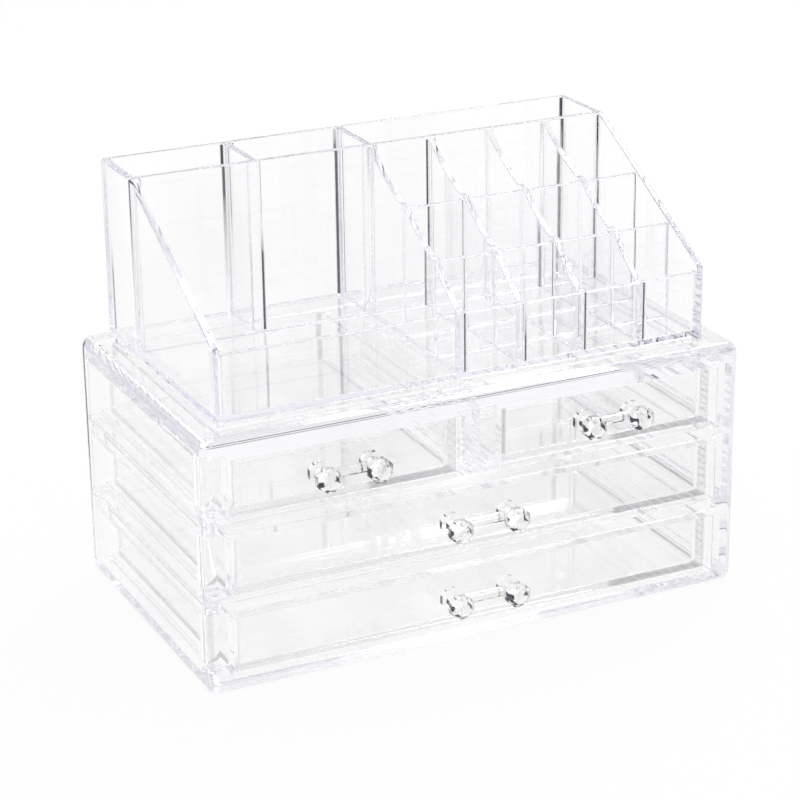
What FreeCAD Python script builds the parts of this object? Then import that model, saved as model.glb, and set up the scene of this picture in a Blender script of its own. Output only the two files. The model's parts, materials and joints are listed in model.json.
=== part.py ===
import FreeCAD, Part
import os
from math import cos, pi, sin

from FreeCAD import Vector

# Clear acrylic make-up organizer: a casing with four drawers and a lift-off tray of bins and slots.
# Millimetres. X runs to the right, Y to the back and Z up. The origin is the middle of the casing's
# underside, on the surface that it stands on.

# ---- Casing ----
casing_width = 240.0
casing_depth = 138.0
edge_radius = 4.5            # rounding of the casing's outer edges
wall = 3.0                   # side walls and back panel
base_thickness = 6.5
window_height = 25.5         # clear height of each drawer opening
rail_height = 7.75           # front rail between two drawer openings
deck_thickness = 4.5         # plate that the tray stands on
rim_height = 5.0             # raised rim that keeps the tray in place
frame_depth = 11.0           # front to back size of the posts and rails
post_width = 10.75
centre_post_width = 17.0
shelf_thickness = 3.0
cleat_width = 5.0
guide_size = 3.0             # square strip beside each drawer
corner_return = 8.0          # how far the back panel wraps round on to each side

# ---- Drawers ----
front_recess = 4.75          # drawer front behind the face of the posts
front_thickness = 3.0
drawer_wall = 2.0
drawer_floor = 2.0
drawer_corner = 4.0          # inner corner radius
side_gap = 1.0
top_gap = 1.2
running_gap = 0.3            # under a drawer, and behind it when it is shut

# ---- Handles ----
narrow_handle_spacing = 22.0
wide_handle_spacing = 25.6
peg_radius = 1.5
peg_clearance = 0.1
flange_width = 9.0           # across flats
flange_thickness = 2.2
neck_width = 5.6             # across flats
neck_length = 4.6
knob_width = 10.0            # across flats
knob_length = 6.4
knob_bevel = 1.9
bar_radius = 2.1

# ---- Tray ----
tray_height = 82.0
tray_side_ledge = 11.2       # rim left clear at each side of the tray
tray_front_ledge = 12.5
tray_back_ledge = 7.3
tray_clearance = 0.5         # between the tray and the rim
tray_wall = 3.0
slot_wall = 2.6
tray_floor_rise = 5.5        # open space under the tray floor
tray_floor_thickness = 2.5
front_slot_depth = 20.7
second_slot_depth = 24.4
third_slot_depth = 29.7
slot_block_offset = -2.5     # first slot wall, from the casing's middle
slot_columns = 4
tray_front_height = 33.6
tray_end_front_height = 36.5 # end wall at the front, before its rounded corner
tray_corner_radius = 4.0
row_drop = 2.0               # row wall below the line of the slope
land = 4.0                   # flat on a slot wall where a row wall meets it
scoop = 1.6                  # hollow of a slot wall's top between two flats

# ---- Places that follow from the sizes above ----
half_width = casing_width / 2
front_y = -casing_depth / 2
back_y = casing_depth / 2
frame_back_y = front_y + frame_depth
inner_x = half_width - wall
inner_back_y = back_y - wall
opening_x = half_width - post_width

floor_bottom = base_thickness
floor_middle = floor_bottom + window_height + rail_height
floor_top = floor_middle + window_height + rail_height
deck_bottom = floor_top + window_height
deck_top = deck_bottom + deck_thickness
casing_height = deck_top + rim_height

drawer_front_y = front_y + front_recess
drawer_back_y = inner_back_y - running_gap
drawer_height = window_height - running_gap - top_gap

tray_x = half_width - tray_side_ledge
tray_inner_x = tray_x - tray_wall
tray_front_y = front_y + tray_front_ledge
tray_back_y = back_y - tray_back_ledge
slots_front_y = tray_front_y + tray_wall
first_row_y = slots_front_y + front_slot_depth
second_row_y = first_row_y + slot_wall + second_slot_depth
middle_wall_y = second_row_y + slot_wall + third_slot_depth
bins_front_y = middle_wall_y + tray_wall
bins_back_y = tray_back_y - tray_wall
tray_top = deck_top + tray_height
tray_floor_top = deck_top + tray_floor_rise + tray_floor_thickness
slope = (tray_height - tray_end_front_height) / (middle_wall_y - tray_front_y)
slot_pitch = (tray_inner_x + slot_wall / 2 - slot_block_offset) / slot_columns


def block(x0, x1, y0, y1, z0, z1):
    """Rectangular block between two corners."""
    return Part.makeBox(x1 - x0, y1 - y0, z1 - z0, Vector(x0, y0, z0))


def upright_edges(shape, places):
    """Vertical edges of a shape that stand at the given (x, y) places."""
    found = []
    for edge in shape.Edges:
        box = edge.BoundBox
        if box.ZLength < 0.01 or box.XLength > 0.01 or box.YLength > 0.01:
            continue
        for x, y in places:
            if abs(box.Center.x - x) < 0.01 and abs(box.Center.y - y) < 0.01:
                found.append(edge)
    return found


def rounded_block(x0, x1, y0, y1, z0, z1, radius):
    """Block whose four upright edges are rounded."""
    shape = block(x0, x1, y0, y1, z0, z1)
    corners = [(x, y) for x in (x0, x1) for y in (y0, y1)]
    return shape.makeFillet(radius, upright_edges(shape, corners))


def edges_at_height(shape, z):
    """Outer edges of a plate that lie flat at one height."""
    return [edge for edge in shape.Edges
            if abs(edge.BoundBox.ZMin - z) < 0.01 and abs(edge.BoundBox.ZMax - z) < 0.01]


def plate_from_side(outline, x0, x1):
    """Plate with a side outline of edges drawn in the plane X = 0, from x0 to x1."""
    shape = Part.Face(Part.Wire(outline)).extrude(Vector(x1 - x0, 0, 0))
    shape.translate(Vector(x0, 0, 0))
    return shape


def octagon(across_flats, centre_x, y, centre_z):
    """Octagon wire in an XZ plane, with flats that face up, down and to both sides."""
    corner = across_flats / 2 / cos(pi / 8)
    points = []
    for i in range(9):
        angle = pi / 8 + i * pi / 4
        points.append(Vector(centre_x + corner * cos(angle), y, centre_z + corner * sin(angle)))
    return Part.makePolygon(points)


def octagon_prism(across_flats, x, y0, y1, z):
    """Octagonal prism along Y."""
    return Part.Face(octagon(across_flats, x, y0, z)).extrude(Vector(0, y1 - y0, 0))


# ---- Casing ----

def base_panel():
    """Bottom plate; its front edge is the sill of the bottom drawer's opening."""
    shape = rounded_block(-half_width, half_width, front_y, back_y, 0, base_thickness, edge_radius)
    lower_radius = min(edge_radius, 0.9 * base_thickness)
    return shape.makeFillet(lower_radius, edges_at_height(shape, 0))


def side_wall(side):
    """Flat side wall between the front post and the back panel's return."""
    x0, x1 = sorted((side * inner_x, side * half_width))
    return block(x0, x1, frame_back_y, back_y - corner_return, base_thickness, deck_bottom)


def back_panel():
    """Back panel that wraps round both rear corners."""
    outer = block(-half_width, half_width, back_y - corner_return, back_y, base_thickness, deck_bottom)
    corners = [(-half_width, back_y), (half_width, back_y)]
    outer = outer.makeFillet(edge_radius, upright_edges(outer, corners))
    inner = block(-inner_x, inner_x, back_y - corner_return, inner_back_y, base_thickness, deck_bottom)
    corners = [(-inner_x, inner_back_y), (inner_x, inner_back_y)]
    inner = inner.makeFillet(max(edge_radius - wall, 0.5), upright_edges(inner, corners))
    return outer.cut(inner)


def side_post(side):
    """Front corner post with its outer edge rounded."""
    x0, x1 = sorted((side * opening_x, side * half_width))
    shape = block(x0, x1, front_y, frame_back_y, base_thickness, deck_bottom)
    return shape.makeFillet(edge_radius, upright_edges(shape, [(side * half_width, front_y)]))


def centre_post():
    """Post between the two top drawers."""
    half = centre_post_width / 2
    return block(-half, half, front_y, frame_back_y, floor_top, deck_bottom)


def rail(shelf_top):
    """Front rail whose top is level with the shelf behind it."""
    return block(-opening_x, opening_x, front_y, frame_back_y, shelf_top - rail_height, shelf_top)


def shelf(shelf_top):
    """Plate that a drawer slides on."""
    return block(-inner_x, inner_x, frame_back_y, inner_back_y - max(edge_radius - wall, 0.5),
                 shelf_top - shelf_thickness, shelf_top)


def cleat(side, shelf_top):
    """Strip on the side wall that carries a shelf."""
    x0, x1 = sorted((side * (inner_x - cleat_width), side * inner_x))
    return block(x0, x1, frame_back_y, back_y - corner_return, shelf_top - rail_height,
                 shelf_top - shelf_thickness)


def divider_panel():
    """Upright wall between the two top drawers."""
    return block(-wall / 2, wall / 2, frame_back_y, inner_back_y, floor_top, deck_bottom)


def guide(opening_edge, side, floor):
    """Square strip on the bay floor, in line with the edge of a drawer opening."""
    x0, x1 = sorted((opening_edge, opening_edge + side * guide_size))
    return block(x0, x1, frame_back_y, back_y - corner_return, floor, floor + guide_size)


def deck_panel():
    """Top plate of the casing, under the tray."""
    return rounded_block(-half_width, half_width, front_y, back_y, deck_bottom, deck_top, edge_radius)


def tray_rim():
    """Ring round the deck with a rounded outer edge."""
    ring = rounded_block(-half_width, half_width, front_y, back_y, deck_top, casing_height, edge_radius)
    ring = ring.makeFillet(min(edge_radius, 0.9 * rim_height), edges_at_height(ring, casing_height))
    seat = block(-tray_x - tray_clearance, tray_x + tray_clearance, tray_front_y - tray_clearance,
                 tray_back_y + tray_clearance, deck_top, casing_height)
    return ring.cut(seat)


# ---- Drawers ----

def drawer_box(x0, x1, floor):
    """Open drawer with a thicker front, rounded inner corners and two holes for the handle pegs."""
    z0 = floor + running_gap
    z1 = z0 + drawer_height
    outer = block(x0, x1, drawer_front_y, drawer_back_y, z0, z1)
    rear = [(x0, drawer_back_y), (x1, drawer_back_y)]
    outer = outer.makeFillet(drawer_corner + drawer_wall, upright_edges(outer, rear))
    inner = rounded_block(x0 + drawer_wall, x1 - drawer_wall, drawer_front_y + front_thickness,
                          drawer_back_y - drawer_wall, z0 + drawer_floor, z1, drawer_corner)
    return outer.cut(inner)


def peg_hole(x, z):
    """Cutter for one handle peg."""
    return Part.makeCylinder(peg_radius + peg_clearance, front_thickness, Vector(x, drawer_front_y, z),
                             Vector(0, 1, 0))


def handle_stud(x, z):
    """Peg, flange, neck and faceted knob in one piece."""
    peg = Part.makeCylinder(peg_radius, front_thickness, Vector(x, drawer_front_y, z), Vector(0, 1, 0))
    flange_y = drawer_front_y - flange_thickness
    neck_y = flange_y - neck_length
    flange = octagon_prism(flange_width, x, flange_y, drawer_front_y, z)
    neck = octagon_prism(neck_width, x, neck_y, flange_y, z)
    knob_end_y = neck_y - knob_length
    waist = knob_width - 2 * knob_bevel
    knob = Part.makeLoft([octagon(waist, x, neck_y, z),
                          octagon(knob_width, x, neck_y - knob_bevel, z),
                          octagon(knob_width, x, knob_end_y + knob_bevel, z),
                          octagon(waist, x, knob_end_y, z)], True, True)
    return peg.fuse([flange, neck, knob]).removeSplitter()


def handle_bar(x, z, spacing):
    """Round bar between the two necks."""
    length = spacing - neck_width
    y = drawer_front_y - flange_thickness - neck_length / 2
    return Part.makeCylinder(bar_radius, length, Vector(x - length / 2, y, z), Vector(1, 0, 0))


def drawer_set(name, opening_x0, opening_x1, floor, spacing):
    """Drawer, two studs and bar for one opening, by node name."""
    x = (opening_x0 + opening_x1) / 2
    z = floor + running_gap + drawer_height / 2
    drawer = drawer_box(opening_x0 + side_gap, opening_x1 - side_gap, floor)
    nodes = {}
    for side, word in ((-1, "left"), (1, "right")):
        stud_x = x + side * spacing / 2
        drawer = drawer.cut(peg_hole(stud_x, z))
        nodes[f"stud_{name}_{word}"] = handle_stud(stud_x, z)
    nodes[f"drawer_{name}"] = drawer
    nodes[f"bar_{name}"] = handle_bar(x, z, spacing)
    return nodes


# ---- Tray ----

def slope_height(y):
    """Height of the tray's sloping line at a place between the front and the middle wall."""
    return tray_top - slope * (middle_wall_y - y)


def line(start, end):
    """Straight edge between two (y, z) points in the plane X = 0."""
    return Part.makeLine(Vector(0, *start), Vector(0, *end))


def plate_across(points, x0, x1):
    """Plate whose side outline joins the given (y, z) points, from x0 to x1."""
    outline = [line(start, end) for start, end in zip(points, points[1:] + points[:1])]
    return plate_from_side(outline, x0, x1)


def tray_end(side):
    """End wall: level along the bins, then a straight slope to a rounded front corner."""
    corner_z = slope_height(tray_front_y)
    x0, x1 = sorted((side * tray_inner_x, side * tray_x))
    shape = plate_across([(tray_back_y, deck_top), (tray_front_y, deck_top), (tray_front_y, corner_z),
                          (middle_wall_y, tray_top), (tray_back_y, tray_top)], x0, x1)
    corner = [edge for edge in shape.Edges
              if abs(edge.BoundBox.YMax - tray_front_y) < 0.01 and abs(edge.BoundBox.ZMin - corner_z) < 0.01]
    return shape.makeFillet(tray_corner_radius, corner)


def slot_wall_x(column):
    """Middle of one slot wall across the tray."""
    return slot_block_offset + column * slot_pitch


def scooped_edge(start, end):
    """Hollow edge between two (y, z) points, lowest near its middle."""
    middle = ((start[0] + end[0]) / 2, (start[1] + end[1]) / 2 - scoop)
    return Part.Arc(Vector(0, *start), Vector(0, *middle), Vector(0, *end)).toShape()


def lap_height(row_y):
    """Height at which a row wall and a slot wall lap each other half and half."""
    return (tray_floor_top + row_top(row_y)) / 2


def row_top(row_y):
    """Top of the row wall whose front face is at row_y."""
    return slope_height(row_y + slot_wall / 2) - row_drop


def slot_wall_plate(column):
    """Slot wall: short flats at the row walls with hollow runs between them, notched below."""
    x0 = slot_wall_x(column) - slot_wall / 2
    start = (middle_wall_y, tray_top)
    outline = [line((middle_wall_y, tray_floor_top), start)]
    for row_y in (second_row_y, first_row_y):
        middle_y = row_y + slot_wall / 2
        height = slope_height(middle_y)
        outline.append(scooped_edge(start, (middle_y + land / 2, height)))
        start = (middle_y - land / 2, height)
        outline.append(line((middle_y + land / 2, height), start))
    front_top = deck_top + tray_front_height
    outline.append(scooped_edge(start, (slots_front_y, front_top)))
    outline.append(line((slots_front_y, front_top), (slots_front_y, tray_floor_top)))
    outline.append(line((slots_front_y, tray_floor_top), (middle_wall_y, tray_floor_top)))
    shape = plate_from_side(outline, x0, x0 + slot_wall)
    if column > 0:
        for row_y in (first_row_y, second_row_y):
            shape = shape.cut(block(x0, x0 + slot_wall, row_y, row_y + slot_wall, tray_floor_top,
                                    lap_height(row_y)))
    return shape


def row_wall(row_y):
    """Wall across the slot block, notched above where the slot walls cross it."""
    shape = block(slot_wall_x(0) + slot_wall / 2, tray_inner_x, row_y, row_y + slot_wall,
                  tray_floor_top, row_top(row_y))
    for column in range(1, slot_columns):
        x0 = slot_wall_x(column) - slot_wall / 2
        shape = shape.cut(block(x0, x0 + slot_wall, row_y, row_y + slot_wall, lap_height(row_y),
                                row_top(row_y)))
    return shape


def bin_divider(x):
    """Wall between two of the tall bins at the back."""
    return block(x - tray_wall / 2, x + tray_wall / 2, bins_front_y, bins_back_y, tray_floor_top,
                 tray_top)


def casing_parts():
    """Every piece of the casing, by node name."""
    nodes = {
        "base_panel": base_panel(),
        "left_side": side_wall(-1),
        "right_side": side_wall(1),
        "back_panel": back_panel(),
        "post_left": side_post(-1),
        "post_right": side_post(1),
        "post_centre": centre_post(),
        "divider_panel": divider_panel(),
        "deck_panel": deck_panel(),
        "tray_rim": tray_rim(),
    }
    for word, top in (("lower", floor_middle), ("upper", floor_top)):
        nodes[f"rail_{word}"] = rail(top)
        nodes[f"shelf_{word}"] = shelf(top)
        nodes[f"cleat_{word}_left"] = cleat(-1, top)
        nodes[f"cleat_{word}_right"] = cleat(1, top)
    for word, floor in (("bottom", floor_bottom), ("middle", floor_middle), ("top", floor_top)):
        nodes[f"guide_{word}_left"] = guide(-opening_x, -1, floor)
        nodes[f"guide_{word}_right"] = guide(opening_x, 1, floor)
    half = centre_post_width / 2
    nodes["guide_top_inner_left"] = guide(-half, 1, floor_top)
    nodes["guide_top_inner_right"] = guide(half, -1, floor_top)
    return nodes


def drawer_parts():
    """The four drawers with their handles, by node name."""
    half = centre_post_width / 2
    nodes = drawer_set("bottom", -opening_x, opening_x, floor_bottom, wide_handle_spacing)
    nodes.update(drawer_set("middle", -opening_x, opening_x, floor_middle, wide_handle_spacing))
    nodes.update(drawer_set("top_left", -opening_x, -half, floor_top, narrow_handle_spacing))
    nodes.update(drawer_set("top_right", half, opening_x, floor_top, narrow_handle_spacing))
    return nodes


def tray_parts():
    """The lift-off tray, by node name."""
    first_divider_x = (slot_block_offset - tray_inner_x) / 2
    nodes = {
        "tray_floor": block(-tray_inner_x, tray_inner_x, slots_front_y, bins_back_y,
                            deck_top + tray_floor_rise, tray_floor_top),
        "tray_front_wall": block(-tray_inner_x, tray_inner_x, tray_front_y, slots_front_y, deck_top,
                                 deck_top + tray_front_height),
        "tray_middle_wall": block(-tray_inner_x, tray_inner_x, middle_wall_y, bins_front_y,
                                  tray_floor_top, tray_top),
        "tray_back_wall": block(-tray_inner_x, tray_inner_x, bins_back_y, tray_back_y, deck_top,
                                tray_top),
        "tray_end_left": tray_end(-1),
        "tray_end_right": tray_end(1),
        "bin_divider_left": bin_divider(first_divider_x),
        "bin_divider_right": bin_divider(slot_block_offset),
        "row_wall_front": row_wall(first_row_y),
        "row_wall_rear": row_wall(second_row_y),
    }
    for column in range(slot_columns):
        nodes[f"slot_wall_{column + 1}"] = slot_wall_plate(column)
    return nodes


os.makedirs("parts", exist_ok=True)
for group in (casing_parts(), drawer_parts(), tray_parts()):
    for name, shape in group.items():
        print(name, len(shape.Solids), shape.isValid(), round(shape.Volume, 1))
        shape.exportStep(f"parts/{name}.step")
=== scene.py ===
# %% [markdown]
# A clear acrylic make-up organizer. The imported parts are flat panels that meet face to face, as a
# bench-made case would be. Clear plastic shows every inner face, and two faces that touch show as a
# dark seam, so each moulding is drawn here as one closed skin with softly rounded edges.
# First the parts are loaded.

# %% Load the parts
import json
import math

import bmesh
import bpy
import numpy as np
from mathutils import Matrix, Vector


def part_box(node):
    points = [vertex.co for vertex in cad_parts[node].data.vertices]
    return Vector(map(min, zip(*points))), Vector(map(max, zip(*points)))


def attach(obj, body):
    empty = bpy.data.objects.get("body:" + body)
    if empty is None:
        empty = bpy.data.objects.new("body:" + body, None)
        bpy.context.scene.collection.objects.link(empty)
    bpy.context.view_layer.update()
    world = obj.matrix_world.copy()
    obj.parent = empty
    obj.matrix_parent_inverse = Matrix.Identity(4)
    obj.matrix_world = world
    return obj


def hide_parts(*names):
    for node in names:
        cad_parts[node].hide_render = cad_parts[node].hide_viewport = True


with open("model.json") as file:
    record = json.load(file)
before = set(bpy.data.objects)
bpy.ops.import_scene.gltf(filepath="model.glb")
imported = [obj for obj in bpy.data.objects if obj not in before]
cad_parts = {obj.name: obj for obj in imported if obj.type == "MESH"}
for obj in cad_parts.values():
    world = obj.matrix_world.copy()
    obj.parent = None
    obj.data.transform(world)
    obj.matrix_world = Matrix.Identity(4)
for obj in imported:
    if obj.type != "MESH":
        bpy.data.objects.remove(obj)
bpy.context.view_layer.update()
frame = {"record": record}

MM = 0.001
slack = 0.1 * MM
same_plane = 0.01 * MM

# %% [markdown]
# A moulding of walls and floors is a lattice: planes cut the space into cells, and each cell is
# plastic or air. The skin is every face where a plastic cell meets an air cell. That is one array
# comparison for each axis, it can never leave a gap, and no two skins ever touch inside the plastic.
# Boolean modifiers could join the panels too, but they stumble on faces that lie in one plane.

# %% Lattice helpers
same_point = 0.001 * MM
flat_angle = math.radians(0.5)


def cuts_from(values):
    """Sorted planes of a lattice along one axis, with repeats taken out."""
    return np.unique(np.round(np.array(values, float), 6))


def cells_between(cuts, low, high):
    """Mask of the cells whose middle lies between two planes."""
    middles = (cuts[1:] + cuts[:-1]) / 2
    return (middles > low) & (middles < high)


def set_block(cells, cuts, low, high, plastic=True):
    """Fills, or empties, every cell between two corners."""
    masks = [cells_between(cuts[axis], low[axis], high[axis]) for axis in range(3)]
    cells[np.ix_(*masks)] = plastic


def lattice_points(cuts):
    """Grid of lattice corners, shaped (x, y, z, 3)."""
    return np.stack(np.meshgrid(*cuts, indexing="ij"), axis=-1)


def skin_quads(cells):
    """Quads of corner numbers, one wherever a plastic cell meets air, turned towards the air.

    Along each axis the cells are padded with air and subtracted from their neighbours: +1 is a face
    that looks back down the axis, and -1 one that looks up it.
    """
    strides = np.array([(cells.shape[1] + 1) * (cells.shape[2] + 1), cells.shape[2] + 1, 1])
    quads = []
    for axis in range(3):
        pad = [(1, 1) if a == axis else (0, 0) for a in range(3)]
        step = np.diff(np.pad(cells, pad).astype(int), axis=axis)
        across, up = strides[(axis + 1) % 3], strides[(axis + 2) % 3]
        loop = np.array([0, across, across + up, up])
        for sign, turn in ((-1, loop), (1, loop[::-1])):
            corner = np.argwhere(step == sign) @ strides
            quads.append(corner[:, None] + turn)
    return np.concatenate(quads)


def skin_object(name, cells, points):
    """Mesh object of a lattice's skin, with flat runs of quads merged into single faces."""
    quads = skin_quads(cells)
    used, faces = np.unique(quads, return_inverse=True)
    mesh = bpy.data.meshes.new(name)
    mesh.from_pydata(points.reshape(-1, 3)[used].tolist(), [], faces.reshape(-1, 4).tolist())
    work = bmesh.new()
    work.from_mesh(mesh)
    bmesh.ops.remove_doubles(work, verts=work.verts, dist=same_point)
    bmesh.ops.dissolve_degenerate(work, edges=work.edges, dist=same_point)
    bmesh.ops.dissolve_limit(work, angle_limit=flat_angle, verts=work.verts, edges=work.edges)
    work.to_mesh(mesh)
    work.free()
    piece = bpy.data.objects.new(name, mesh)
    bpy.context.scene.collection.objects.link(piece)
    print(name, "faces", len(mesh.polygons))
    return piece


# %% [markdown]
# Moulded edges are never knife sharp, and the rounding is what catches the light. One Bevel modifier
# rounds a whole skin, with a weight on each edge as its own radius. Edges are picked by where they
# lie and by the angle between their two faces, again as arrays: on a closed skin each edge belongs to
# exactly two faces, so sorting the face corners by edge pairs those faces up.

# %% Edge rounding
sharp_angle = math.radians(12)


def edge_table(mesh):
    """Start and end points of all edges, and the angle between each edge's two faces."""
    points = np.empty(len(mesh.vertices) * 3)
    mesh.vertices.foreach_get("co", points)
    points = points.reshape(-1, 3)
    pairs = np.empty(len(mesh.edges) * 2, int)
    mesh.edges.foreach_get("vertices", pairs)
    pairs = pairs.reshape(-1, 2)
    normals = np.empty(len(mesh.polygons) * 3)
    mesh.polygons.foreach_get("normal", normals)
    sizes = np.empty(len(mesh.polygons), int)
    mesh.polygons.foreach_get("loop_total", sizes)
    corner_edge = np.empty(len(mesh.loops), int)
    mesh.loops.foreach_get("edge_index", corner_edge)
    corner_face = np.repeat(np.arange(len(sizes)), sizes)
    sides = corner_face[np.argsort(corner_edge, kind="stable")].reshape(-1, 2)
    normals = normals.reshape(-1, 3)
    cosines = (normals[sides[:, 0]] * normals[sides[:, 1]]).sum(1)
    return points[pairs[:, 0]], points[pairs[:, 1]], np.arccos(np.clip(cosines, -1, 1))


def round_edges(piece, fine, rules, segments=4):
    """Rounds sharp edges by a fine radius, and those that a rule picks by the rule's radius.

    A rule is (radius, test), and its test takes the edges' start and end arrays.
    """
    start, end, angle = edge_table(piece.data)
    radius = np.where(angle > sharp_angle, fine, 0.0)
    for size, test in rules:
        radius = np.where(test(start, end) & (radius > 0), size, radius)
    widest = radius.max()
    weights = piece.data.attributes.new("bevel_weight_edge", "FLOAT", "EDGE")
    weights.data.foreach_set("value", radius / widest)
    bevel = piece.modifiers.new("rounded edges", "BEVEL")
    bevel.limit_method = "WEIGHT"
    bevel.offset_type = "OFFSET"
    bevel.width = widest
    bevel.segments = segments
    bevel.use_clamp_overlap = False
    bevel.harden_normals = True
    piece.data.shade_smooth()


def upright(start, end):
    """Mask of the edges that run straight up."""
    return np.abs(start - end)[:, :2].max(1) < same_plane


def on_plane(start, end, axis, value):
    """Mask of the edges that lie wholly in one plane of the box."""
    return (np.abs(start[:, axis] - value) < same_plane) & (np.abs(end[:, axis] - value) < same_plane)


# %% [markdown]
# The casing: a base, two sides and a back, with posts and rails round the four drawer openings,
# shelves inside, and a deck with a raised rim for the tray. Every panel's box comes from its node.
# Only the rim's opening and the wrapped rear corners have to be emptied again.

# %% Casing
casing_nodes = list(frame["record"]["behaviour"]["bodies"]["casing"])
casing_blocks = {name: [np.array(corner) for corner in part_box(name)] for name in casing_nodes}
tray_nodes = list(frame["record"]["behaviour"]["bodies"]["tray"])
tray_blocks = {name: [np.array(corner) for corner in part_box(name)] for name in tray_nodes}
tray_low = np.min([low for low, high in tray_blocks.values()], axis=0)
tray_high = np.max([high for low, high in tray_blocks.values()], axis=0)

rim_low, rim_high = casing_blocks["tray_rim"]
back_low, back_high = casing_blocks["back_panel"]
side_high_x = casing_blocks["left_side"][1][0]
shell_wall = side_high_x - back_low[0]
tray_gap = 0.5 * MM
overshoot = 1 * MM
seat = (tray_low - tray_gap, tray_high + tray_gap)
back_hollow = (back_low + [shell_wall, -overshoot, -overshoot],
               back_high - [shell_wall, shell_wall, -overshoot])
casing_low = casing_blocks["base_panel"][0]
casing_high = rim_high


def at_level(corner, level):
    """A corner moved straight up or down to the level of another."""
    return np.array([corner[0], corner[1], level[2]])


def casing_skin():
    """The casing's panels as one closed skin."""
    corners = [corner for pair in casing_blocks.values() for corner in pair]
    corners += [at_level(corner, rim_low) for corner in seat]
    corners += [at_level(corner, back_low) for corner in back_hollow]
    cuts = [cuts_from([corner[axis] for corner in corners]) for axis in range(3)]
    cells = np.zeros([len(cut) - 1 for cut in cuts], bool)
    for name in ("tray_rim", "back_panel"):
        set_block(cells, cuts, *casing_blocks[name])
    set_block(cells, cuts, at_level(seat[0], rim_low), seat[1], plastic=False)
    set_block(cells, cuts, *back_hollow, plastic=False)
    for name in casing_nodes:
        if name not in ("tray_rim", "back_panel"):
            set_block(cells, cuts, *casing_blocks[name])
    return skin_object("casing", cells, lattice_points(cuts))


def outer_edge(low, high):
    """Test for edges that lie on two faces of a box at once, which are its outer edges."""
    def test(start, end):
        hits = sum(on_plane(start, end, axis, value[axis]).astype(int)
                   for axis in range(3) for value in (low, high))
        return hits >= 2
    return test


outer_radius = 4.5 * MM
fine_radius = 0.45 * MM
casing = casing_skin()
round_edges(casing, fine_radius, [(outer_radius, outer_edge(casing_low, casing_high))], segments=5)
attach(casing, "casing")
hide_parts(*casing_nodes)

# %% [markdown]
# A drawer is one wall that runs round four corners, with a floor. A bevel can't round its rear corners
# and its thin rim together, so the wall is carried round instead: each ring is the drawer's outline at
# one height, drawn in by some inset, and the rings climb the outside, turn over the rim and go down
# inside. The rounded corners bend what is seen through them into a bright and a dark line.

# %% Drawers
drawer_front = 3 * MM
drawer_wall = 2 * MM
drawer_corner = 4 * MM
drawer_front_corner = 1 * MM
drawer_foot = 1 * MM
corner_steps = 8
rim_steps = 4
drawer_names = ("bottom", "middle", "top_left", "top_right")


def outline(low, high, radii, inset):
    """Rounded rectangle: at each corner, centre + (radius - inset) * (cos a, sin a) over a quarter turn."""
    signs = np.array([(-1, -1), (1, -1), (1, 1), (-1, 1)])
    corners = np.where(signs < 0, low, high)
    centres = corners - signs * np.array(radii)[:, None]
    turn = math.pi + math.pi / 2 * (np.arange(4)[:, None] + np.linspace(0, 1, corner_steps + 1))
    reach = (np.array(radii) - inset)[:, None, None]
    return (centres[:, None] + reach * np.stack([np.cos(turn), np.sin(turn)], -1)).reshape(-1, 2)


def quarter(radius):
    """Quarter circle as pairs of (radius * (1 - sin t), radius * (1 - cos t))."""
    t = np.linspace(0, math.pi / 2, rim_steps + 1)
    return np.stack([radius * (1 - np.sin(t)), radius * (1 - np.cos(t))], -1)


def ring_skin(name, rings):
    """Mesh object of rings joined by quads, with the first and last ring closed by flat faces."""
    count = len(rings[0])
    points = np.concatenate(rings)
    index = np.arange(len(points)).reshape(-1, count)
    after = np.roll(index, -1, axis=1)
    quads = np.stack([index[:-1], after[:-1], after[1:], index[1:]], -1).reshape(-1, 4)
    faces = quads.tolist() + [index[0, ::-1].tolist(), index[-1].tolist()]
    mesh = bpy.data.meshes.new(name)
    mesh.from_pydata(points.tolist(), [], faces)
    mesh.shade_smooth()
    piece = bpy.data.objects.new(name, mesh)
    bpy.context.scene.collection.objects.link(piece)
    flats = piece.modifiers.new("flat faces", "WEIGHTED_NORMAL")
    flats.weight = 100
    print(name, "faces", len(mesh.polygons))
    return piece


def drawer_skin(name):
    """One drawer as a closed skin with its cavity open at the top."""
    low, high = [np.array(corner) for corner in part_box(f"drawer_{name}")]
    inner_low = low + [drawer_wall, drawer_front, drawer_wall]
    inner_high = high - [drawer_wall, drawer_wall, 0]
    front, rear = drawer_front_corner, drawer_corner + drawer_wall

    def outside(inset, z):
        plan = outline(low[:2], high[:2], [front, front, rear, rear], inset)
        return np.column_stack([plan, np.full(len(plan), z)])

    def inside(inset, z):
        plan = outline(inner_low[:2], inner_high[:2], [drawer_corner] * 4, inset)
        return np.column_stack([plan, np.full(len(plan), z)])

    rings = [outside(inset, low[2] + rise) for inset, rise in quarter(fine_radius)]
    rings += [outside(inset, high[2] - drop) for inset, drop in quarter(fine_radius)[::-1]]
    rings += [inside(-inset, high[2] - drop) for inset, drop in quarter(fine_radius)]
    rings += [inside(inset, inner_low[2] + rise) for inset, rise in quarter(drawer_foot)[::-1]]
    return ring_skin(f"drawer_{name}_body", rings)


drawers = {}
for name in drawer_names:
    drawers[name] = drawer_skin(name)
    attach(drawers[name], f"{name}_drawer")
    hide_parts(f"drawer_{name}")

# %% [markdown]
# The tray is a lattice too, but its upper levels bend. A lattice corner may sit at any height as long
# as the levels keep their order, so the tops of the walls follow a function of the distance from the
# front: a straight slope on the two ends, and short flats with hollow runs between them on the slot
# walls. The runs are cut into a few steps so that their curve shows.
# The tray stands on the deck. Two clear faces in one plane confuse the light that passes through both
# and leave black spots, so the tray's underside is raised by a hair, as real plates never quite touch.

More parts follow.
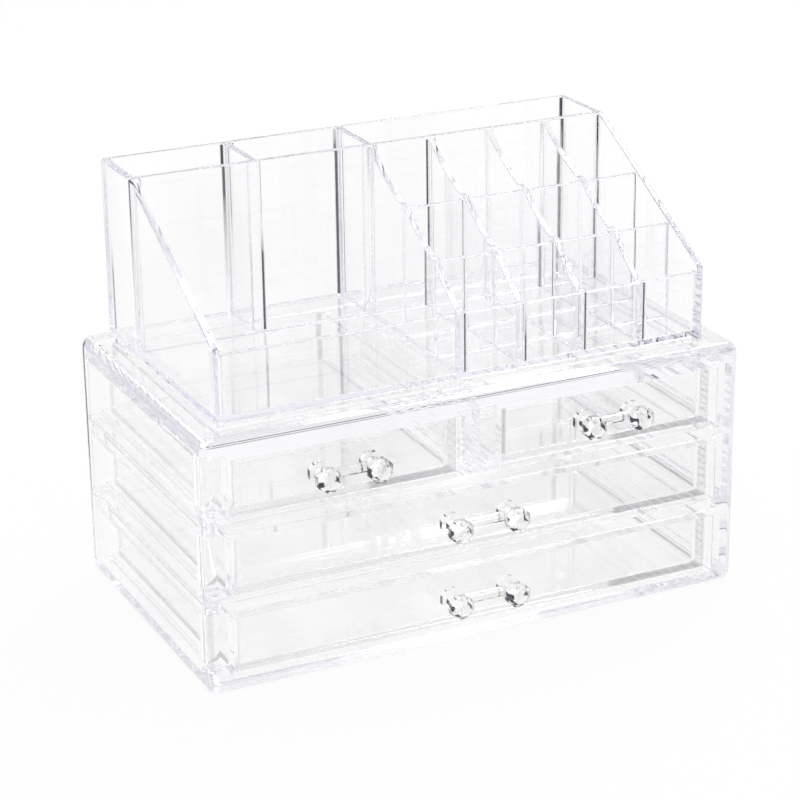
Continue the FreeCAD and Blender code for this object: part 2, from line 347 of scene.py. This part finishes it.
# %% Tray
tray_front_height = tray_blocks["tray_front_wall"][1][2]
end_front_height = tray_low[2] + 36.5 * MM
land = 4 * MM
scoop = 1.6 * MM
run_steps = 9
slots_front = tray_blocks["tray_front_wall"][1][1]
middle_front = tray_blocks["tray_middle_wall"][0][1]
rows = [tray_blocks["row_wall_front"], tray_blocks["row_wall_rear"]]
row_middles = [(low[1] + high[1]) / 2 for low, high in rows]
tray_top = tray_high[2]
slope = (tray_top - end_front_height) / (middle_front - tray_low[1])


def slope_height(y):
    """Straight slope of the ends, level from the middle wall back."""
    return tray_top - slope * np.maximum(middle_front - y, 0)


knot_y = [slots_front]
for middle in row_middles:
    knot_y += [middle - land / 2, middle + land / 2]
knot_y.append(middle_front)
knot_z = [tray_front_height]
for middle in row_middles:
    knot_z += [slope_height(middle)] * 2
knot_z.append(tray_top)


def slot_wall_height(y):
    """Top of a slot wall: the chord between knots, less 4 * scoop * t * (1 - t) on each hollow run."""
    height = np.interp(y, knot_y, knot_z)
    for start, end in zip(knot_y[::2], knot_y[1::2]):
        t = np.clip((y - start) / (end - start), 0, 1)
        height = height - 4 * scoop * t * (1 - t)
    return height


def tray_skin():
    """The whole tray as one closed skin."""
    corners = [corner for pair in tray_blocks.values() for corner in pair]
    x_cuts = cuts_from([corner[0] for corner in corners])
    runs = [np.linspace(start, end, run_steps + 1) for start, end in zip(knot_y[::2], knot_y[1::2])]
    y_cuts = cuts_from([corner[1] for corner in corners] + list(np.concatenate(runs)))
    levels = np.arange(5)
    cuts = [x_cuts, y_cuts, levels]
    cells = np.zeros([len(cut) - 1 for cut in cuts], bool)

    def wall(name, bottom, top):
        low, high = tray_blocks[name]
        set_block(cells, cuts, [low[0], low[1], bottom], [high[0], high[1], top])

    for name in ("tray_end_left", "tray_end_right", "tray_back_wall"):
        wall(name, 0, 4)
    wall("tray_front_wall", 0, 3)
    wall("tray_floor", 1, 2)
    for name in ("row_wall_front", "row_wall_rear"):
        wall(name, 2, 3)
    tall = [name for name in tray_nodes if name.startswith(("slot_wall", "bin_divider"))]
    for name in tall + ["tray_middle_wall"]:
        wall(name, 2, 4)

    points = lattice_points(cuts)
    x, y, level = points[..., 0], points[..., 1], points[..., 2]
    floor_low, floor_high = tray_blocks["tray_floor"]
    slot_wall_boxes = [tray_blocks[name] for name in tray_nodes if name.startswith("slot_wall")]
    on_slot_wall = sum(((x > low[0] - slack) & (x < high[0] + slack)).astype(int)
                       for low, high in slot_wall_boxes) > 0
    in_slots = (y > slots_front - slack) & (y < middle_front - slack)
    high_top = np.where(on_slot_wall & in_slots, slot_wall_height(y), slope_height(y))
    low_top = (floor_high[2] + high_top) / 2
    low_walls = [tray_blocks["tray_front_wall"]] + rows
    for low, high in low_walls:
        low_top = np.where((y > low[1] - slack) & (y < high[1] + slack), high[2], low_top)
    heights = [np.full_like(x, tray_low[2]), np.full_like(x, floor_low[2]), np.full_like(x, floor_high[2]),
               low_top, high_top]
    points[..., 2] = np.select([level == k for k in range(5)], heights)
    return skin_object("tray_moulding", cells, points)


tray_corner = 3 * MM
slot_corner = 1.8 * MM
row_corner = 0.5 * MM
front_corner = 4 * MM
tray_outer = 1.2 * MM
contact_gap = 0.05 * MM
slots_left = tray_blocks["slot_wall_1"][0][0]


def tray_inside_corner(start, end):
    """Upright edges that stand clear of the tray's four outer faces."""
    clear = np.ones(len(start), bool)
    for axis in (0, 1):
        clear &= (start[:, axis] > tray_low[axis] + MM) & (start[:, axis] < tray_high[axis] - MM)
    return upright(start, end) & clear


def at_slots(start, end):
    """Inside corners of the slot block, which its sloping tops leave less room for."""
    near = (start[:, 0] > slots_left - MM) & (start[:, 1] < middle_front + slack)
    return tray_inside_corner(start, end) & near


def at_rows(start, end):
    """Inside corners where a slot wall or an end meets a row wall."""
    on_row = sum(((start[:, 1] > low[1] - slack) & (start[:, 1] < high[1] + slack)).astype(int)
                 for low, high in rows) > 0
    return at_slots(start, end) & on_row


def tray_front_corner(start, end):
    """The two short edges across the ends, where the slope meets the front."""
    return on_plane(start, end, 1, tray_low[1]) & on_plane(start, end, 2, end_front_height)


def tray_outer_edge(start, end):
    """Edges of the ends' outer faces and of the back, and the front's lower edge."""
    outer = on_plane(start, end, 0, tray_low[0]) | on_plane(start, end, 0, tray_high[0])
    foot = on_plane(start, end, 1, tray_low[1]) & on_plane(start, end, 2, tray_low[2] + contact_gap)
    return outer | foot | on_plane(start, end, 1, tray_high[1])


def lifted(piece, low, gap):
    """Raises a piece's underside by a hair, so that it doesn't share a plane with what it stands on."""
    points = np.empty((len(piece.data.vertices), 3))
    piece.data.vertices.foreach_get("co", points.reshape(-1))
    points[:, 2] = np.where(points[:, 2] < low + gap / 2, low + gap, points[:, 2])
    piece.data.vertices.foreach_set("co", points.reshape(-1))


tray = tray_skin()
lifted(tray, tray_low[2], contact_gap)
round_edges(tray, fine_radius, [(tray_corner, tray_inside_corner), (slot_corner, at_slots),
                                (row_corner, at_rows), (tray_outer, tray_outer_edge),
                                (front_corner, tray_front_corner)])
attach(tray, "tray")
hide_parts(*tray_nodes)

# %% [markdown]
# A handle is two faceted studs and a bar. A stud is an octagon carried along its own axis while its
# width changes: flange, neck, knob. The facets stay flat and sharp, because they are what sparkles.

# %% Handles
ring_sides = 8
bar_sides = 24


def carried_rings(rings, sides, turn=0.0):
    """Closed solid from rings along Y: each ring is (x, y, z, circumradius), points on a circle.

    Point j of a ring lies at angle turn + 2 pi j / sides, and neighbouring rings are joined by quads.
    """
    rings = np.array(rings)
    angle = turn + 2 * np.pi * np.arange(sides) / sides
    x = rings[:, 0, None] + rings[:, 3, None] * np.cos(angle)
    z = rings[:, 2, None] + rings[:, 3, None] * np.sin(angle)
    y = np.broadcast_to(rings[:, 1, None], x.shape)
    points = np.stack([x, y, z], -1).reshape(-1, 3)
    first = np.arange(len(rings) - 1)[:, None] * sides + np.arange(sides)
    across = np.arange(len(rings) - 1)[:, None] * sides + (np.arange(sides) + 1) % sides
    quads = np.stack([first, first + sides, across + sides, across], -1).reshape(-1, 4)
    faces = quads.tolist()
    faces.append(list(range(sides)))
    faces.append(list(range(len(points) - 1, len(points) - 1 - sides, -1)))
    return points, faces


def joined(name, solids):
    """One mesh object from several closed solids."""
    points, faces, offset = [], [], 0
    for solid_points, solid_faces in solids:
        points.append(solid_points)
        faces += [[corner + offset for corner in face] for face in solid_faces]
        offset += len(solid_points)
    mesh = bpy.data.meshes.new(name)
    mesh.from_pydata(np.concatenate(points).tolist(), [], faces)
    work = bmesh.new()
    work.from_mesh(mesh)
    bmesh.ops.recalc_face_normals(work, faces=work.faces)
    work.to_mesh(mesh)
    work.free()
    piece = bpy.data.objects.new(name, mesh)
    bpy.context.scene.collection.objects.link(piece)
    return piece


flange_width, flange_thickness = 9.0 * MM, 2.2 * MM
neck_width, neck_length = 5.6 * MM, 4.6 * MM
knob_width, knob_length, knob_bevel = 10.0 * MM, 6.4 * MM, 1.9 * MM
bar_radius = 2.1 * MM
corner_share = 1 / (2 * math.cos(math.pi / ring_sides))


def stud_solid(x, face_y, z):
    """Stud from the drawer front outwards; each station is (distance out, width across flats)."""
    neck_start = flange_thickness
    knob_start = neck_start + neck_length
    knob_end = knob_start + knob_length
    waist = knob_width - 2 * knob_bevel
    stations = [(contact_gap, flange_width), (neck_start, flange_width), (neck_start, neck_width),
                (knob_start, neck_width), (knob_start, waist), (knob_start + knob_bevel, knob_width),
                (knob_end - knob_bevel, knob_width), (knob_end, waist)]
    rings = [(x, face_y - out, z, width * corner_share) for out, width in stations]
    return carried_rings(rings, ring_sides, turn=math.pi / ring_sides)


def bar_solid(x0, x1, y, z):
    """Round bar between two necks: rings carried along Y, then turned to lie along X."""
    points, faces = carried_rings([(0, x0, 0, bar_radius), (0, x1, 0, bar_radius)], bar_sides)
    return np.stack([points[:, 1], points[:, 0] + y, points[:, 2] + z], -1), faces


def handle(name):
    """Both studs and the bar of one drawer."""
    stud_boxes = [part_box(f"stud_{name}_{side}") for side in ("left", "right")]
    centres = [(Vector(low) + Vector(high)) / 2 for low, high in stud_boxes]
    face_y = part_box(f"drawer_{name}")[0].y
    z = centres[0].z
    solids = [stud_solid(centre.x, face_y, z) for centre in centres]
    half_neck = neck_width / 2 + contact_gap
    bar_y = face_y - flange_thickness - neck_length / 2
    solids.append(bar_solid(centres[0].x + half_neck, centres[1].x - half_neck, bar_y, z))
    return joined(f"handle_{name}", solids)


handles = {}
for name in drawer_names:
    handles[name] = handle(name)
    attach(handles[name], f"{name}_drawer")
    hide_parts(f"stud_{name}_left", f"stud_{name}_right", f"bar_{name}")
    print(handles[name].name, "faces", len(handles[name].data.polygons))

# %% [markdown]
# Clear acrylic has almost no colour of its own. What shows is refraction at its edges, a faint violet
# cast where light has passed through a lot of it, and here and there a dark line where a rounded corner
# bends something dark into view. The shader is one Principled BSDF. Its maths could be wired by hand,
# node by node, but it reads better as plain expressions on wrapped sockets.

# %% Shader helpers


class Wire:
    """An output socket that can be used in arithmetic; each operation adds one Math node."""

    def __init__(self, recipe, socket):
        self.recipe = recipe
        self.socket = socket

    def math(self, operation, left, right):
        return self.recipe.node("ShaderNodeMath", {"operation": operation}, {0: left, 1: right})

    def __add__(self, other):
        return self.math("ADD", self, other)

    def __radd__(self, other):
        return self.math("ADD", other, self)

    def __sub__(self, other):
        return self.math("SUBTRACT", self, other)

    def __rsub__(self, other):
        return self.math("SUBTRACT", other, self)

    def __mul__(self, other):
        return self.math("MULTIPLY", self, other)

    def __rmul__(self, other):
        return self.math("MULTIPLY", other, self)

    def __neg__(self):
        return self.math("MULTIPLY", self, -1.0)

    def __abs__(self):
        return self.recipe.node("ShaderNodeMath", {"operation": "ABSOLUTE"}, {0: self})

    def ramp(self, low, high):
        """0 below one value, 1 above another, straight between: slope * value - slope * low, clamped."""
        slope = 1.0 / (high - low)
        return self.recipe.node("ShaderNodeMath", {"operation": "MULTIPLY_ADD", "use_clamp": True},
                                {0: self, 1: slope, 2: -low * slope})


class Recipe:
    """The node tree of one material or of the world."""

    def __init__(self, owner):
        owner.use_nodes = True
        self.tree = owner.node_tree
        self.tree.nodes.clear()

    def node(self, kind, settings=None, inputs=None, output=0):
        """Adds a node, sets its settings, then gives each input a value or a link.

        The setting called stops fills a colour ramp with (position, colour) pairs.
        """
        made = self.tree.nodes.new(kind)
        for key, value in (settings or {}).items():
            if key == "stops":
                self.fill_stops(made.color_ramp.elements, value)
            else:
                setattr(made, key, value)
        for key, value in (inputs or {}).items():
            if isinstance(value, Wire):
                self.tree.links.new(value.socket, made.inputs[key])
            else:
                made.inputs[key].default_value = value
        return Wire(self, made.outputs[output]) if len(made.outputs) else None

    def fill_stops(self, elements, stops):
        """Gives a colour ramp its stops; it starts with two of its own."""
        for position, colour in stops[2:]:
            elements.new(position)
        for element, (position, colour) in zip(sorted(elements, key=lambda e: e.position), stops):
            element.position = position
            element.color = colour

    def axes(self, vector):
        """The three components of a vector, each as its own wire."""
        first = self.node("ShaderNodeSeparateXYZ", None, {0: vector})
        return [Wire(self, socket) for socket in first.socket.node.outputs]

    def noise(self, place, scale, detail):
        """Smooth random pattern around one half; a greater scale makes it finer."""
        return self.node("ShaderNodeTexNoise", None, {"Vector": place, "Scale": scale, "Detail": detail})

    def mixed(self, share, first, second):
        """Colour between two others."""
        return self.node("ShaderNodeMix", {"data_type": "RGBA"}, {0: share, 6: first, 7: second}, output=2)


# %% [markdown]
# Most of the look is one number: how much light a millimetre of plastic takes. A wall is crossed in
# two or three millimetres and stays clear, but light that enters an edge runs along the whole wall
# before it leaves, so edges turn grey violet. A Volume Absorption shader does that by itself.
# The rest is painted on the surface, as a grey share of its colour: the dark lines that bent light
# would draw at roundings are painted reflections here, set by which way the surface faces. A rounding
# is where the normal leaves the three axes: 4 x x y y is 1 halfway round an upright edge, and
# 4 z z (1 - z z) halfway round a level one. Inside corners show broken painted dark strokes, which a
# stretched noise cuts up, and moulded walls have faint clouds and an uneven polish.

# %% Clear acrylic
# Dark colour mixed into the surface, both for painted reflections on roundings, facets and the rear line,
# and for the plastic's own faint clouds.
painted_dark_and_cloud_grey = (0.003, 0.003, 0.005, 1)
clear_white = (1, 1, 1, 1)
violet_depth = (0.5, 0.5, 0.8, 1)
neutral_depth = (0.55, 0.55, 0.57, 1)
acrylic_index = 1.49
cloud_scale, stroke_scale, haze_scale, reflection_break_scale = 24.0, 30.0, 160.0, 420.0
upright_stretch = (1.0, 1.0, 0.35)
haze_roughness = 0.02
corner_cut, forward_cut, stroke_cut = (0.6, 0.9), (0.1, 0.4), (0.4, 0.5)
cloud_cut, reflection_break_cut = (0.42, 0.62), (0.5, 0.56)
lower_left_cut, upper_right_cut = (0.3, 0.4), (0.5, 0.7)
upper_right_share = 0.4


def rounding_painted_reflection(recipe, normal, strokes, upright_reflection_dark, level_reflection_grey):
    """Painted reflection on rounded edges: dark broken strokes on upright ones that face forward, an even
    grey on level ones.
    """
    x, y, z = normal
    upright_line = (4.0 * x * x * y * y).ramp(*corner_cut) * (-y).ramp(*forward_cut)
    round_level = 4.0 * z * z * (1.0 - z * z)
    return upright_line * strokes.ramp(*stroke_cut) * upright_reflection_dark + round_level * round_level * level_reflection_grey


def facet_painted_reflection(recipe, normal, reflection_breaks, facet_reflection_dark):
    """Painted reflection on the facets: dark patches, broken up by noise, on those that look down to the
    left, and fainter ones on those up to the right, where they would mirror dark surroundings.
    """
    x, y, z = normal
    lower_left = (x * -0.55 + z * -0.8).ramp(*lower_left_cut)
    upper_right = (x * 0.8 + z * 0.5).ramp(*upper_right_cut)
    return (lower_left + upper_right * upper_right_share) * reflection_breaks.ramp(*reflection_break_cut) * facet_reflection_dark


# %% [markdown]
# Both sides of the casing show a thin dark upright line just in front of the back. It could be left to
# reflections, but it is painted by place instead, fading towards the base, which is steadier. The price
# is that it stays put when the camera moves, as a true reflection would not.

# %% Rear line and the finished acrylics
line_inset = 5.6 * MM
line_core, line_reach = 0.6 * MM, 1.0 * MM
skin_start, skin_full = 1.2 * MM, 0.8 * MM
line_fade = (30 * MM, 60 * MM)
line_foot, line_gain = 0.3, 0.75


def rear_line_grey(recipe, place, high):
    """Grey stripe on both outer sides, a set distance in front of the box's back."""
    across, along, up = recipe.axes(place)
    on_side = abs(across).ramp(high[0] - skin_start, high[0] - skin_full)
    on_line = (-abs(along - (high[1] - line_inset))).ramp(-line_reach, -line_core)
    return on_side * on_line * (up.ramp(*line_fade) * line_gain + line_foot)


def clear_acrylic(name, depth_colour, density, upright_reflection_dark=0.0, level_reflection_grey=0.0, cloudiness=0.0,
                  facet_reflection_dark=0.0, rear_line_box_high=None):
    """Clear moulded plastic with depth tint, painted dark reflections on roundings and facets, faint clouds
    and uneven polish.
    """
    material = bpy.data.materials.new(name)
    recipe = Recipe(material)
    place = recipe.node("ShaderNodeTexCoord", output="Object")
    drawn_out = recipe.node("ShaderNodeMapping", None, {"Vector": place, "Scale": upright_stretch})
    normal = recipe.axes(recipe.node("ShaderNodeNewGeometry", output="Normal"))
    strokes = recipe.noise(drawn_out, stroke_scale, 0.0)
    clouds = recipe.noise(drawn_out, cloud_scale, 3.0).ramp(*cloud_cut)
    haze = recipe.noise(place, haze_scale, 3.0)
    # The grey share sums painted dark reflections and the plastic's faint clouds.
    grey = rounding_painted_reflection(recipe, normal, strokes, upright_reflection_dark, level_reflection_grey) + clouds * cloudiness
    if facet_reflection_dark:
        grey = grey + facet_painted_reflection(recipe, normal, recipe.noise(place, reflection_break_scale, 0.0), facet_reflection_dark)
    if rear_line_box_high is not None:
        grey = grey + rear_line_grey(recipe, place, rear_line_box_high)
    surface = recipe.node("ShaderNodeBsdfPrincipled", None,
                          {"Base Color": recipe.mixed(grey, clear_white, painted_dark_and_cloud_grey),
                           "Roughness": haze * haze_roughness, "Transmission Weight": 1.0,
                           "IOR": acrylic_index})
    depth = recipe.node("ShaderNodeVolumeAbsorption", None, {"Color": depth_colour, "Density": density})
    recipe.node("ShaderNodeOutputMaterial", None, {"Surface": surface, "Volume": depth})
    print(name, "nodes", len(recipe.tree.nodes))
    return material


# The dark amounts given below set painted reflections on roundings and facets; the depth colours, densities
# and clouds are the plastic's own.
casing.data.materials.append(clear_acrylic("casing acrylic", violet_depth, 0.6, upright_reflection_dark=0.3,
                                           level_reflection_grey=0.08, cloudiness=0.03,
                                           rear_line_box_high=casing_high))
tray.data.materials.append(clear_acrylic("tray acrylic", violet_depth, 2.0, upright_reflection_dark=1.0,
                                         level_reflection_grey=0.12, cloudiness=0.03))
drawer_acrylic = clear_acrylic("drawer acrylic", neutral_depth, 2.4, upright_reflection_dark=0.5, level_reflection_grey=0.1,
                               cloudiness=0.03)
handle_acrylic = clear_acrylic("handle acrylic", neutral_depth, 4.0, facet_reflection_dark=1.6)
for name in drawer_names:
    drawers[name].data.materials.append(drawer_acrylic)
    handles[name].data.materials.append(handle_acrylic)

# %% [markdown]
# The set: a pale floor that keeps a faint shadow. A matt floor alone would look grey beside the white
# backdrop, so a share of it glows plain white wherever it is seen, directly or through the plastic.
# The rest is matt and takes the shadow.

# %% Floor
floor_drop = 0.1 * MM
floor_size = 6.0
floor_glow = 0.95


def floor_material():
    """Pale floor; seen directly, or through and in the plastic, part of it is plain white."""
    material = bpy.data.materials.new("pale floor")
    recipe = Recipe(material)
    matt = recipe.node("ShaderNodeBsdfDiffuse", None, {"Color": (0.9, 0.9, 0.9, 1)})
    white = recipe.node("ShaderNodeEmission", None, {"Color": (1, 1, 1, 1), "Strength": 1.0})
    seen = 0.0
    for kind in ("Is Camera Ray", "Is Glossy Ray", "Is Transmission Ray"):
        ray = recipe.node("ShaderNodeLightPath", output=kind)
        seen = recipe.node("ShaderNodeMath", {"operation": "MAXIMUM"}, {0: seen, 1: ray})
    mixed = recipe.node("ShaderNodeMixShader", None, {0: seen * floor_glow, 1: matt, 2: white})
    recipe.node("ShaderNodeOutputMaterial", None, {"Surface": mixed})
    return material


floor_mesh = bpy.data.meshes.new("floor")
half = floor_size / 2
floor_mesh.from_pydata([(-half, -half, -floor_drop), (half, -half, -floor_drop), (half, half, -floor_drop),
                        (-half, half, -floor_drop)], [], [(0, 1, 2, 3)])
floor = bpy.data.objects.new("floor", floor_mesh)
floor.data.materials.append(floor_material())
bpy.context.scene.collection.objects.link(floor)
print("floor", floor_size, "m wide")

# %% [markdown]
# Clear plastic shows only what it bends light from, so the room matters as much as the plastic. It
# could be a picture of a studio, but here it is worked out from a direction's height and forward share:
# white, with a grey band high up and a low dark card in front. From the front both show faintly, at a
# few edges. From behind, the tray's floor and the deck mirror the card and turn clearly darker.

# %% Studio light
room_white = (1, 1, 1, 1)
band_grey = (0.2, 0.2, 0.25, 1)
ceiling_white = (1.1, 1.1, 1.1, 1)
card_grey = (0.04, 0.04, 0.05, 1)
card_forward = (0.3, 0.4667)
card_floor = (0.05, 0.1333)
card_top = (0.27, 0.32)
room_stops = ((0.0, room_white), (0.50, room_white), (0.55, band_grey), (0.61, band_grey),
              (0.68, ceiling_white))
world = bpy.data.worlds.new("studio")
bpy.context.scene.world = world
sky = Recipe(world)
backward, height = sky.axes(sky.node("ShaderNodeTexCoord", output="Generated"))[1:]
room = sky.node("ShaderNodeValToRGB", {"stops": room_stops}, {0: height})
below_top = (-height).ramp(-card_top[1], -card_top[0])
card = (-backward).ramp(*card_forward) * height.ramp(*card_floor) * below_top
room = sky.mixed(card, room, card_grey)
backdrop = sky.mixed(sky.node("ShaderNodeLightPath", output="Is Camera Ray"), room, room_white)
glow = sky.node("ShaderNodeBackground", None, {"Color": backdrop, "Strength": 1.0})
sky.node("ShaderNodeOutputWorld", None, {"Surface": glow})


def soft_lamp(name, place, target, size, power):
    """Square area lamp that faces a target."""
    light = bpy.data.lights.new(name, "AREA")
    light.size = size
    light.energy = power
    lamp = bpy.data.objects.new(name, light)
    bpy.context.scene.collection.objects.link(lamp)
    lamp.location = place
    lamp.rotation_euler = (Vector(target) - Vector(place)).to_track_quat("-Z", "Y").to_euler()
    return lamp


key_place, key_target = (0.7, 0.5, 1.0), (0, 0, 0.08)
key = soft_lamp("key softbox", key_place, key_target, size=0.5, power=6.0)
print(key.name, key.data.energy, "W")

# %% [markdown]
# The camera stands to the left of the front and looks down at about twenty degrees, with a long lens.

# %% Camera
azimuth = math.radians(-25.6)
elevation = math.radians(21.15)
roll = -0.013
distance = 1.0896
focal_pixels = 2600
image_pixels = 800
sensor = 36.0
target = Vector((-4.4, -2.0, 81.8)) * MM

outward = Vector((math.sin(azimuth) * math.cos(elevation), -math.cos(azimuth) * math.cos(elevation),
                  math.sin(elevation)))
level_right = (-outward).cross(Vector((0, 0, 1))).normalized()
level_up = level_right.cross(-outward)
right = math.cos(roll) * level_right + math.sin(roll) * level_up
up = -math.sin(roll) * level_right + math.cos(roll) * level_up
lens = bpy.data.cameras.new("camera")
lens.sensor_width = sensor
lens.lens = focal_pixels / image_pixels * sensor
lens.clip_start = 0.05
camera = bpy.data.objects.new("camera", lens)
bpy.context.scene.collection.objects.link(camera)
camera.matrix_world = (Matrix.Translation(target + distance * outward)
                       @ Matrix((right, up, outward)).transposed().to_4x4())
bpy.context.scene.camera = camera
bpy.context.scene.view_settings.view_transform = "Standard"
print("camera at", [round(value, 3) for value in camera.matrix_world.translation])

# %% [markdown]
# A view through the whole case crosses dozens of faces, and light that runs along a wall inside it is
# mirrored many times more. Cut short, such a path turns black, so a path may bend far more often than
# usual before it is given up.

# %% Light paths
most_bends = 160
paths = bpy.context.scene.cycles
paths.max_bounces = most_bends
paths.transmission_bounces = most_bends
paths.glossy_bounces = most_bends
print("light paths bend up to", most_bends, "times")

# %% [markdown]
# Last, the view layer is updated.

# %% Finish
bpy.context.view_layer.update()
